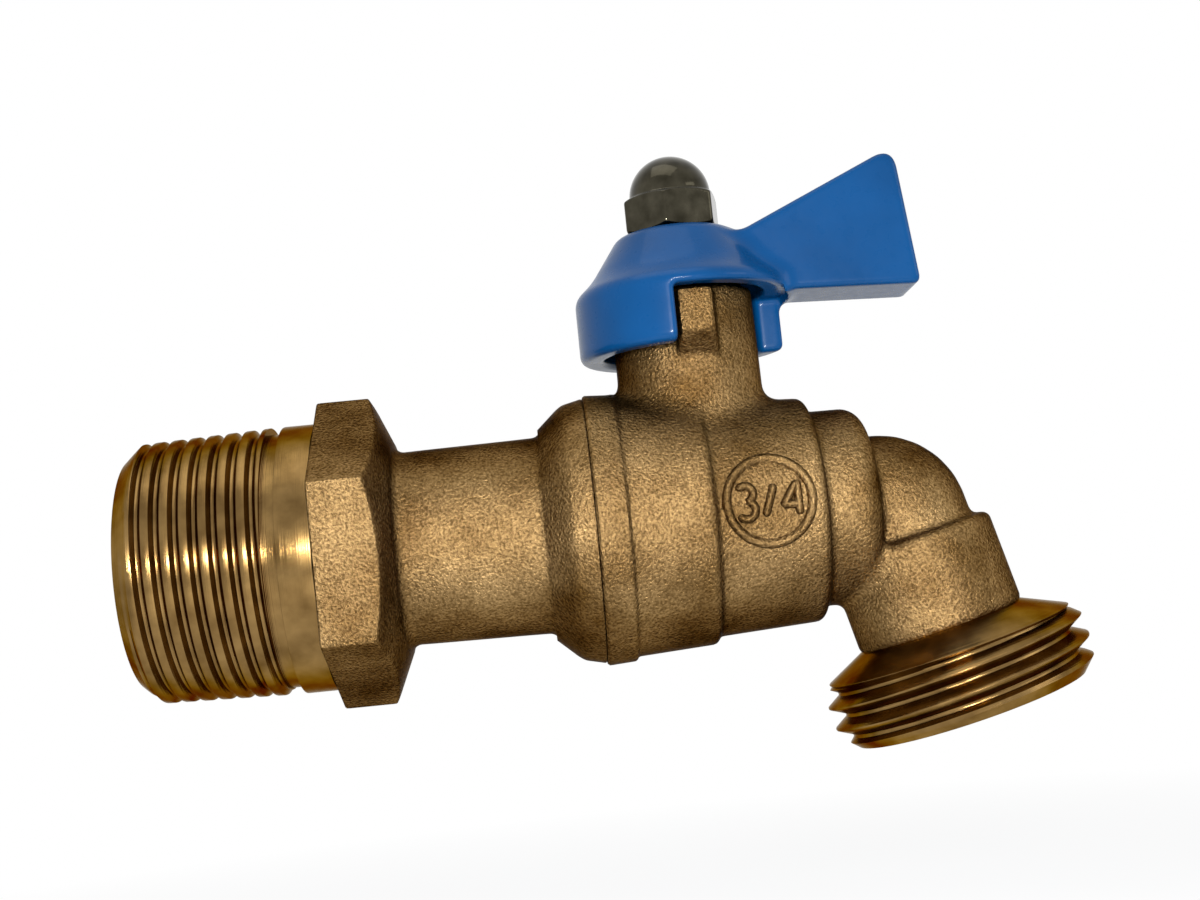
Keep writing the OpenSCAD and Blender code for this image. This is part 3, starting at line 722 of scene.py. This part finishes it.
def ridge(chain, width, material, spacing=0.08, across=9):
    """A raised rounded stroke along a chain of points on the band, closed a little below the band."""
    chain = np.array(chain, float)
    reach = np.concatenate([[0], np.cumsum(np.linalg.norm(np.diff(chain, axis=0), axis=1))])
    place = np.linspace(0, reach[-1], max(int(reach[-1] / spacing), 4))
    line = np.stack([np.interp(place, reach, chain[:, k]) for k in range(2)], 1)
    way = np.gradient(line, axis=0)
    closed = np.linalg.norm(chain[0] - chain[-1]) < spacing
    if closed:
        way[0] = way[-1] = way[0] + way[-1]
    way /= np.linalg.norm(way, axis=1)[:, None]
    side = np.stack([-way[:, 1], way[:, 0]], 1)
    near_end = np.minimum(np.minimum(place, reach[-1] - place) / (width / 2), 1)
    taper = np.ones(len(place)) if closed else np.sqrt(1 - (1 - near_end) ** 2)
    w = np.linspace(-1, 1, across)
    rise = MARK_HEIGHT * (1 - w * w)[None] * taper[:, None] - MARK_SINK
    under = np.full((len(place), 1), -3 * MARK_SINK)
    rise = np.concatenate([rise, under, under, rise[:, :1]], 1)
    w = np.concatenate([w, [1, -1, -1]])
    flat = line[:, None] + side[:, None] * (w[None, :, None] * taper[:, None, None] * width / 2)
    base, way_out = band_surface(flat[..., 0], flat[..., 1])
    points = base + way_out * rise[..., None]
    n, m = len(place), len(w)
    corner = (np.arange(n - 1)[:, None] * m + np.arange(m - 1)).ravel()
    faces = np.stack([corner, corner + m, corner + m + 1, corner + 1], 1)
    return points.reshape(-1, 3), faces, material, None


def build_body(skin, cut):
    low = (JOINT_X - 0.6, -14.4, -17.2)
    high = (STEM_X + 32.6, 14.4, NECK_TOP_Z + 0.6)
    points, faces = surface_nets(body_field, low, high, BODY_STEP)
    casting = make_piece("body_casting", [(points, faces, skin, None), hose_part(cut)], "valve_body", 0.001)
    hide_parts("body")
    strokes = [ridge(chain, width, skin) for chain, width in mark_strokes()]
    mark = make_piece("size_mark", strokes, "valve_body")


# Inlet connector

def hex_radius(theta):
    """The hex's radius round the pipe, with its corners slightly rounded."""
    flats = [theta - HEX_TURN - math.radians(30 + 60 * k) for k in range(6)]
    total = sum(np.maximum(np.cos(flat), 0) ** HEX_SHARPNESS for flat in flats)
    return HEX_AF / 2 / total ** (1 / HEX_SHARPNESS)


def thread_end_rows(theta, collar_r):
    """The inlet face, the pipe thread, its run-out groove and the collar."""
    def outside(s):
        return THREAD_R + s * THREAD_TAPER, THREAD_R - LEAD_DEPTH + s * LEAD_DEPTH / LEAD_LEN

    groove_r = collar_r - GROOVE_DEPTH
    groove_end = THREAD_LEN + GROOVE_W
    face = corner_rows([(0, INLET_BORE_R + INLET_EDGE), (0, THREAD_R - LEAD_DEPTH)])
    thread = thread_rows(theta, 0, THREAD_LEN, PIPE_PHASE, PIPE_PITCH, PIPE_DEPTH, WORN_TOOTH, outside)
    groove = [(THREAD_LEN, groove_r), (groove_end, groove_r), (groove_end, collar_r), (HEX_X, collar_r)]
    return face + thread + corner_rows(groove, COLLAR_EDGE)


def hex_rows(theta, collar_r, tube_x):
    """The hex, and the cone that runs down to the tube and rounds its corners."""
    hex_r = hex_radius(theta)
    corner_r = HEX_AF / 2 / math.cos(math.pi / 6)
    cone_end_r = TUBE_R + TUBE_FILLET
    cone_x = HEX_X + HEX_LEN + (corner_r - hex_r) * CONE_LEN / (corner_r - cone_end_r)
    rows = [(HEX_X, collar_r)]
    for step, drop in ((0, 0.35), (0.05, 0.14), (0.16, 0.03)):
        rows.append((HEX_X + step, hex_r - drop))
    for t in (0.1, 0.2, 0.4, 0.6, 0.8, 0.93):
        rows.append((HEX_X + (cone_x - HEX_X) * t, hex_r))
    rows.append((cone_x - 0.12, hex_r - 0.01))
    rows.append((cone_x, hex_r - 0.09))
    for t in (0.08, 0.3, 0.5, 0.7, 0.9):
        rows.append((cone_x + (tube_x - cone_x) * t, hex_r + (cone_end_r - hex_r) * t))
    return rows


def tube_rows(tube_x):
    """The tube with a fillet at each end, the flare and the flange."""
    flange_x = JOINT_X - FLANGE_LEN
    flare_x = flange_x - FLARE_LEN
    rows = fillet_rows(tube_x + TUBE_FILLET, TUBE_R + TUBE_FILLET, TUBE_FILLET, 270, 180)
    for t in (0.2, 0.4, 0.6, 0.8):
        rows.append((tube_x + (flare_x - tube_x) * t, TUBE_R + (TUBE_END_R - TUBE_R) * t))
    rows += fillet_rows(flare_x - TUBE_FILLET, TUBE_END_R + TUBE_FILLET, TUBE_FILLET, 180, 90)[:-2]
    return rows + corner_rows([
        (flare_x - 0.3, TUBE_END_R + 0.75), (flange_x - 0.3, FLANGE_R - 0.45),
        (flange_x + FLANGE_EDGE, FLANGE_R), (JOINT_X, FLANGE_JOINT_R), (JOINT_X, SPIGOT_R)], 0.3, 5)


def spigot_rows():
    """The spigot inside the body, the pocket of the seat ring, the throat and the bore."""
    throat_x = STEM_X - SEAT_BACK - THROAT_LEN
    end_x = JOINT_X + SPIGOT_LEN
    return corner_rows([
        (JOINT_X, SPIGOT_R), (end_x, SPIGOT_R), (end_x, SEAT_POCKET_R),
        (STEM_X - SEAT_BACK, SEAT_POCKET_R), (STEM_X - SEAT_BACK, THROAT_R),
        (throat_x + THROAT_TAPER_LEN, THROAT_R), (throat_x, INLET_BORE_R),
        (INLET_EDGE, INLET_BORE_R), (0, INLET_BORE_R + INLET_EDGE)], BORE_EDGE)


def build_connector(skin, cut):
    theta = angles(HEX_TURN)
    collar_r = THREAD_R + THREAD_LEN * THREAD_TAPER
    tube_x = HEX_X + HEX_LEN + CONE_LEN
    parts = []
    for rows, material in (
            (thread_end_rows(theta, collar_r), cut),
            (hex_rows(theta, collar_r, tube_x) + tube_rows(tube_x), skin),
            (spigot_rows(), cut)):
        points, faces, stations = wrap(rows, np.zeros(3), PIPE, theta)
        parts.append((points, faces, material, stations))
    connector = make_piece("pipe_connector", parts, "valve_body")
    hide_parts("inlet_connector")


# Handle

def half_plane(x, z, a, b):
    """Distance beyond the line from a to b, on its left-hand side."""
    dx = b[0] - a[0]
    dz = b[1] - a[1]
    return (dx * (z - a[1]) - dz * (x - a[0])) / math.hypot(dx, dz)


def bell_field(out, z):
    """The turned outside of the bell: a cone on a skirt."""
    cone = -half_plane(out, z, (WAIST_R, SKIRT_TOP_Z), (TOP_R, HANDLE_TOP_Z))
    cone = smooth_max(smooth_max(cone, z - HANDLE_TOP_Z, TOP_EDGE), out - WAIST_R, HOLLOW_EDGE)
    lip = (z - SKIRT_TOP_Z - (SKIRT_R - out) * LIP_RISE) / math.hypot(1, LIP_RISE)
    d = smooth_min(cone, smooth_max(out - SKIRT_R, lip, SKIRT_EDGE), WAIST_FILLET)
    return smooth_max(d, SKIRT_BOTTOM_Z - z, SKIRT_EDGE)


def hollow_field(out, z):
    """The hollow under the bell."""
    hub_z = HANDLE_TOP_Z - HUB_H
    slope = (SKIRT_R - TOP_R) / (HANDLE_TOP_Z - SKIRT_TOP_Z)
    hub_r = TOP_R + HUB_H * slope - SHELL_WALL
    cone = half_plane(out, z, (SKIRT_R - SHELL_WALL, SKIRT_TOP_Z), (hub_r, hub_z))
    d = smooth_max(out - SKIRT_R + SHELL_WALL, -cone, HOLLOW_EDGE)
    return smooth_max(d, z - hub_z, HOLLOW_EDGE)


def blade_field(x, y, z):
    """The flat blade, with a round tip and softened edges."""
    top = half_plane(x, z, BLADE_ROOT, BLADE_TIP)
    end = half_plane(x, z, BLADE_TIP, BLADE_CORNER)
    under = half_plane(x, z, BLADE_CORNER, BLADE_HEEL)
    d = smooth_max(top, end, BLADE_TIP_ROUND)
    d = smooth_max(d, under, BLADE_HEEL_ROUND)
    d = np.maximum(d, BLADE_START_X - x)
    return smooth_max(d, np.abs(y) - BLADE_HALF, BLADE_EDGE)


def handle_field(p):
    x = p[..., 0] - STEM_X
    y = p[..., 1]
    z = p[..., 2]
    out = np.hypot(x, y)
    d = smooth_min(bell_field(out, z), blade_field(x, y, z), BLADE_FILLET)
    window = smooth_max(WINDOW_LEFT - x, y - WINDOW_BACK, HOLLOW_EDGE / 2)
    window = smooth_max(window, z - WINDOW_TOP_Z, HOLLOW_EDGE)
    window = smooth_max(window, out - SKIRT_R - 0.2, HOLLOW_EDGE / 2)
    d = smooth_max(d, -window, HOLLOW_EDGE)
    d = smooth_max(d, -hollow_field(out, z), HOLLOW_EDGE)
    hole = np.maximum(out - STEM_HOLE_R, np.abs(y) - FLATS_HALF)
    return smooth_max(d, -hole, BORE_EDGE)


def build_handle(coat):
    low = (STEM_X - 11.3, -11.3, SKIRT_BOTTOM_Z - 0.5)
    high = (STEM_X + 25.0, 11.3, 36.0)
    points, faces = surface_nets(handle_field, low, high, HANDLE_STEP)
    handle = make_piece("handle_shell", [(points, faces, coat, None)], "handle_set", 0.001)
    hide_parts("handle")


# Acorn nut

def nut_field(p):
    x = p[..., 0] - STEM_X
    y = p[..., 1]
    z = p[..., 2] - HANDLE_TOP_Z
    out = np.hypot(x, y)
    height = NUT_TOP_Z - HANDLE_TOP_Z
    flats = None
    for k in range(6):
        turn = NUT_TURN + math.radians(60 * k)
        flat = x * math.cos(turn) + y * math.sin(turn) - NUT_AF / 2
        flats = flat if flats is None else smooth_max(flats, flat, NUT_EDGE)
    chamfer = np.maximum(z - NUT_HEX_H, -z) * NUT_CHAMFER_SLOPE
    block = smooth_max(flats, (out - NUT_AF / 2 + chamfer) / math.hypot(1, NUT_CHAMFER_SLOPE), NUT_EDGE)
    block = smooth_max(smooth_max(block, z - NUT_HEX_H, NUT_EDGE), -z, NUT_EDGE)
    dome_z = height - DOME_R
    ball = np.sqrt(out ** 2 + (z - dome_z) ** 2) - DOME_R
    dome = np.where(z > dome_z, ball, np.maximum(out - DOME_R, -z))
    d = smooth_min(block, dome, NUT_EDGE)
    return np.maximum(d, -np.maximum(out - NUT_BORE_R, z - NUT_BORE_LEN))


def build_nut(chrome):
    low = (STEM_X - 5.6, -5.6, HANDLE_TOP_Z - 0.3)
    high = (STEM_X + 5.6, 5.6, NUT_TOP_Z + 0.3)
    points, faces = surface_nets(nut_field, low, high, NUT_STEP)
    nut = make_piece("cap_nut", [(points, faces, chrome, None)], "handle_set", 0.001)
    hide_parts("acorn_nut")


# Pieces that keep their CAD shape

def dress(node, material):
    """Gives a CAD piece its material."""
    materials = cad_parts[node].data.materials
    materials.clear()
    materials.append(material)


def dress_inside(cut):
    chrome = metal("ball_chrome_plate", (0.62, 0.63, 0.65), (0.78, 0.79, 0.80), 0.06, 0.16, 200)
    seat = polymer("seat_plastic_white", (0.78, 0.78, 0.75), (0.88, 0.88, 0.85), 0.4, 900)
    packing = polymer("packing_plastic_ivory", (0.70, 0.66, 0.56), (0.80, 0.76, 0.66), 0.5, 900)
    rubber = polymer("seal_rubber_black", (0.012, 0.012, 0.013), (0.03, 0.03, 0.03), 0.6, 1200)
    dress("ball", chrome)
    for node in ("inlet_seat_ring", "outlet_seat_ring", "thrust_washer"):
        dress(node, seat)
    for node in ("packing_ring_lower", "packing_ring_middle", "packing_ring_upper"):
        dress(node, packing)
    dress("body_seal", rubber)
    for node in ("stem", "gland_nut"):
        dress(node, cut)


# Studio

def ray_mix(tree, lit, seen):
    """Gives camera, mirror and see-through rays one shader, and all other rays another."""
    path = tree.nodes.new("ShaderNodeLightPath")
    either = add(tree, "ShaderNodeMath")
    either.operation = "MAXIMUM"
    tree.links.new(path.outputs["Is Camera Ray"], either.inputs[0])
    tree.links.new(path.outputs["Is Glossy Ray"], either.inputs[1])
    any_seen = add(tree, "ShaderNodeMath")
    any_seen.operation = "MAXIMUM"
    tree.links.new(either.outputs[0], any_seen.inputs[0])
    tree.links.new(path.outputs["Is Transmission Ray"], any_seen.inputs[1])
    mix = tree.nodes.new("ShaderNodeMixShader")
    tree.links.new(any_seen.outputs[0], mix.inputs[0])
    tree.links.new(lit.outputs[0], mix.inputs[1])
    tree.links.new(seen.outputs[0], mix.inputs[2])
    return mix


def build_world():
    world = bpy.data.worlds.new("studio")
    bpy.context.scene.world = world
    world.use_nodes = True
    tree = world.node_tree
    lit = tree.nodes["Background"]
    lit.inputs["Color"].default_value = (0.95, 0.97, 1.0, 1)
    lit.inputs["Strength"].default_value = 0.16
    seen = tree.nodes.new("ShaderNodeBackground")
    seen.inputs["Color"].default_value = (1, 1, 1, 1)
    mix = ray_mix(tree, lit, seen)
    tree.links.new(mix.outputs[0], tree.nodes["World Output"].inputs["Surface"])


def build_floor():
    """A white floor below the tap. It keeps the shadow, and fades to plain white further out."""
    half = 2000.0
    drop = 40.0
    z = CAD_BOX[0].z / MM - drop
    mesh = bpy.data.meshes.new("floor")
    corners = [(x * MM, y * MM, 0) for x, y in ((-half, -half), (half, -half), (half, half), (-half, half))]
    mesh.from_pydata(corners, [], [(0, 1, 2, 3)])
    floor = bpy.data.objects.new("floor", mesh)
    floor.location = (STEM_X * MM, 0, z * MM)
    bpy.context.scene.collection.objects.link(floor)
    material = bpy.data.materials.new("floor_white")
    material.use_nodes = True
    tree = material.node_tree
    tree.nodes.remove(tree.nodes["Principled BSDF"])
    lit = add(tree, "ShaderNodeBsdfDiffuse", Color=(0.8, 0.8, 0.8, 1))
    shaded = add(tree, "ShaderNodeBsdfDiffuse", Color=(0.8, 0.8, 0.8, 1))
    glow = add(tree, "ShaderNodeEmission", Color=(1, 1, 1, 1), Strength=0.7)
    near = tree.nodes.new("ShaderNodeAddShader")
    tree.links.new(shaded.outputs[0], near.inputs[0])
    tree.links.new(glow.outputs[0], near.inputs[1])
    white = add(tree, "ShaderNodeEmission", Color=(1, 1, 1, 1), Strength=1.0)
    place = tree.nodes.new("ShaderNodeTexCoord")
    reach = tree.nodes.new("ShaderNodeVectorMath")
    reach.operation = "LENGTH"
    tree.links.new(place.outputs["Object"], reach.inputs[0])
    fade = tree.nodes.new("ShaderNodeMapRange")
    fade.inputs["From Min"].default_value = 120 * MM
    fade.inputs["From Max"].default_value = 330 * MM
    tree.links.new(reach.outputs["Value"], fade.inputs["Value"])
    seen = tree.nodes.new("ShaderNodeMixShader")
    tree.links.new(fade.outputs["Result"], seen.inputs[0])
    tree.links.new(near.outputs[0], seen.inputs[1])
    tree.links.new(white.outputs[0], seen.inputs[2])
    mix = ray_mix(tree, lit, seen)
    tree.links.new(mix.outputs[0], tree.nodes["Material Output"].inputs["Surface"])
    mesh.materials.append(material)


def area_lamp(name, place, width, height, watts):
    """A soft lamp that faces the middle of the tap. Its place is measured from the stem."""
    lamp = bpy.data.lights.new(name, "AREA")
    lamp.shape = "RECTANGLE"
    lamp.size = width * MM
    lamp.size_y = height * MM
    lamp.energy = watts
    obj = bpy.data.objects.new(name, lamp)
    bpy.context.scene.collection.objects.link(obj)
    obj.location = Vector((STEM_X + place[0], place[1], place[2])) * MM
    aim = Vector((STEM_X - 5, 0, 5)) * MM - obj.location
    obj.rotation_euler = aim.to_track_quat("-Z", "Y").to_euler()


def build_lamps():
    area_lamp("key", (-20, -230, 22), 70, 12, 0.56)
    area_lamp("top", (-40, -60, 260), 220, 160, 0.12)
    area_lamp("side", (210, -120, 80), 120, 120, 0.08)


def build_camera():
    camera = bpy.data.cameras.new("camera")
    camera.lens = CAMERA_LENS
    camera.sensor_width = 36
    camera.clip_start = 0.01
    camera.clip_end = 20
    obj = bpy.data.objects.new("camera", camera)
    bpy.context.scene.collection.objects.link(obj)
    obj.location = (Vector((STEM_X, 0, 0)) + Vector(CAMERA_FROM_STEM)) * MM
    obj.rotation_euler = [math.radians(a) for a in CAMERA_TURN]
    bpy.context.scene.camera = obj


build_camera()
build_world()
build_floor()
build_lamps()
bpy.context.scene.view_settings.view_transform = "Standard"

BRASS_SKIN = forged_brass()
BRASS_CUT = turned_brass()
build_body(BRASS_SKIN, BRASS_CUT)
build_connector(BRASS_SKIN, BRASS_CUT)
build_handle(blue_enamel())
build_nut(metal("nut_dark_chrome", (0.030, 0.027, 0.018), (0.075, 0.068, 0.048), 0.07, 0.16, 500))
dress_inside(BRASS_CUT)
